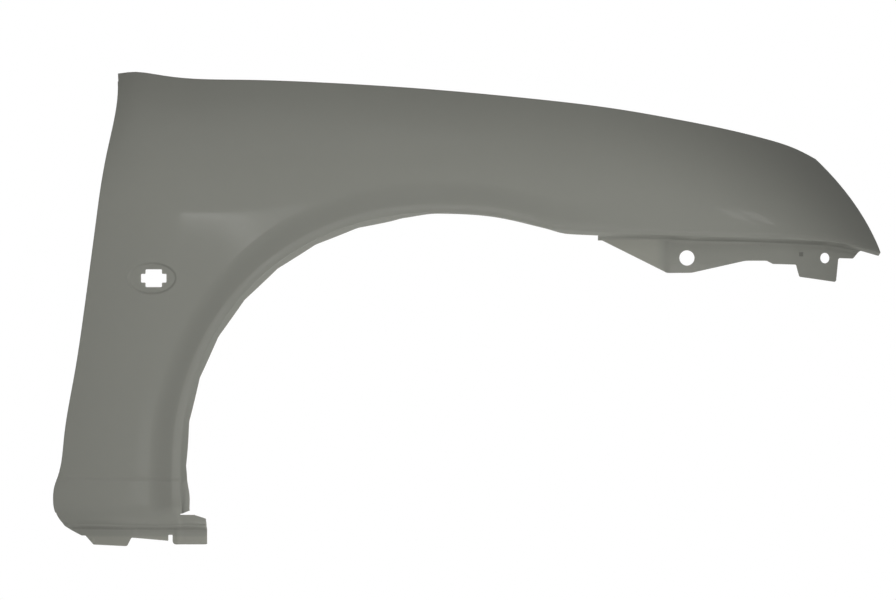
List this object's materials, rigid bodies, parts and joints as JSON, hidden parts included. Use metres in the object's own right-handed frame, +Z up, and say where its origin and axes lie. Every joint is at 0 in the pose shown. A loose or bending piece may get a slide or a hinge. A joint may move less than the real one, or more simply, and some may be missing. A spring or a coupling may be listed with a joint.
{
  "type": "car front fender",
  "caption": "Pressed steel front fender for the right side of a small hatchback, with a round wheel arch, a side-lamp recess, a bonnet flange and a folded mounting flange.",
  "frame": {"origin": "Underside of the bonnet flange at its second bolt seat from the rear, just inboard of the slot, where the panel rests on the inner wing.", "axes": "+X to the front of the car, +Y inboard, away from the outer skin's face, +Z up, as fitted on the car."},
  "size_m": [1.0783, 0.2589, 0.6123],
  "materials": {
    "grey_primer": "satin grey primer with a slight olive cast"
  },
  "bodies": {
    "root": {"fender": "grey_primer"}
  },
  "joints": []
}
